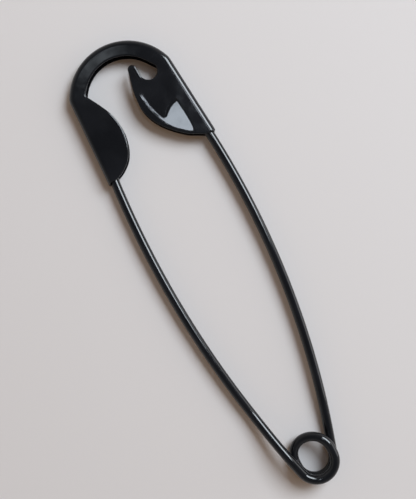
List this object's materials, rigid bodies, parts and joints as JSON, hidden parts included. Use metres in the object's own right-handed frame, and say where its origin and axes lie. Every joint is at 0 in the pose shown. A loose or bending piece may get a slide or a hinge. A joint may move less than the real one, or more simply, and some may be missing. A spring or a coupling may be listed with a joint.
{
  "type": "safety pin",
  "caption": "Closed safety pin of spring wire with a coil at its foot and a folded sheet metal cap that has a guard lobe, a wide lobe, a hook tongue and a loop.",
  "frame": {"origin": "Middle of the pin's plan bounding box, on the plane that the pin lies on.", "axes": "+Y runs from the coil to the cap, +Z points out of the front face, and +X points to the side of the fixed arm."},
  "size_m": [0.0252, 0.1002, 0.0044],
  "materials": {
    "clasp_cap": "gloss black enamel on sheet steel",
    "fixed_arm": "gloss black enamel on spring wire",
    "spring_coil": "gloss black enamel on spring wire",
    "pin_arm": "gloss black enamel on spring wire"
  },
  "bodies": {
    "cap_and_coil": {"clasp_cap": "clasp_cap", "fixed_arm": "fixed_arm", "spring_coil": "spring_coil"},
    "pin": {"pin_arm": "pin_arm"}
  },
  "joints": [
    {"name": "pin_swing", "type": "hinge", "parent": "cap_and_coil", "child": "pin", "pos_m": [-0.00011, -0.04472, 0.0022], "axis": [0, 0, -1], "range_deg": [0, 7], "stiffness_Nm_per_rad": 0.1, "springref_deg": -24.98}
  ]
}
